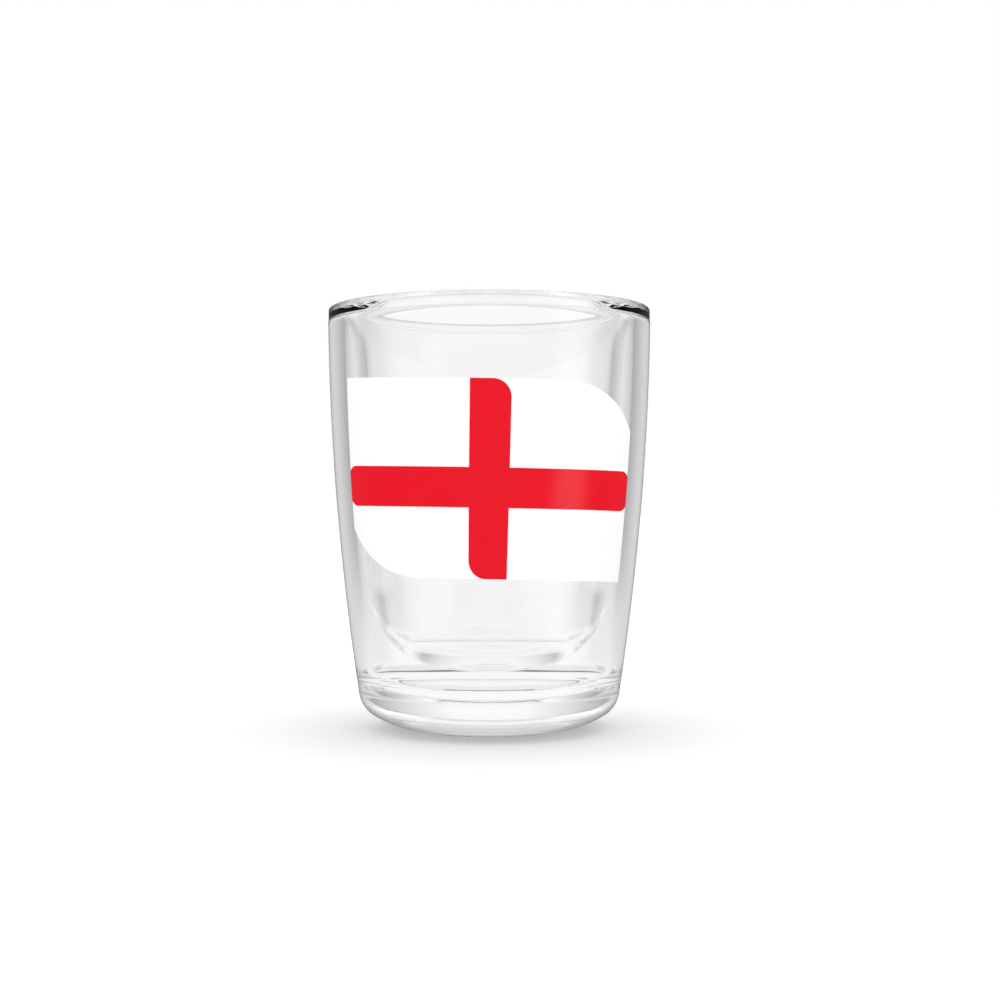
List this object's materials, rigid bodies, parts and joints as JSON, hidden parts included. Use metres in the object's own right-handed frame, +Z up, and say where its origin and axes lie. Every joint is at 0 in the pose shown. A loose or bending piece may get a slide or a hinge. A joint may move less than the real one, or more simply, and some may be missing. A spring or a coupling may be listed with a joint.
{
  "type": "shot glass",
  "caption": "Double-wall shot glass with a thick clear base, a round-bottomed inner cup under a rounded lip, and a printed flag on the front.",
  "frame": {"origin": "middle of the flat underside, on the surface that the glass stands on", "axes": "+Z up along the axis of the glass, -Y out of the front, where the print's middle is, +X to the right seen from the front"},
  "size_m": [0.05, 0.05, 0.065],
  "materials": {
    "shell_glass": "polished",
    "cup_glass": "polished",
    "white_ink": "gloss print",
    "red_ink": "gloss print"
  },
  "bodies": {
    "root": {"outer_shell": "shell_glass", "inner_cup": "cup_glass", "flag_field": "white_ink", "flag_cross": "red_ink"}
  },
  "joints": []
}
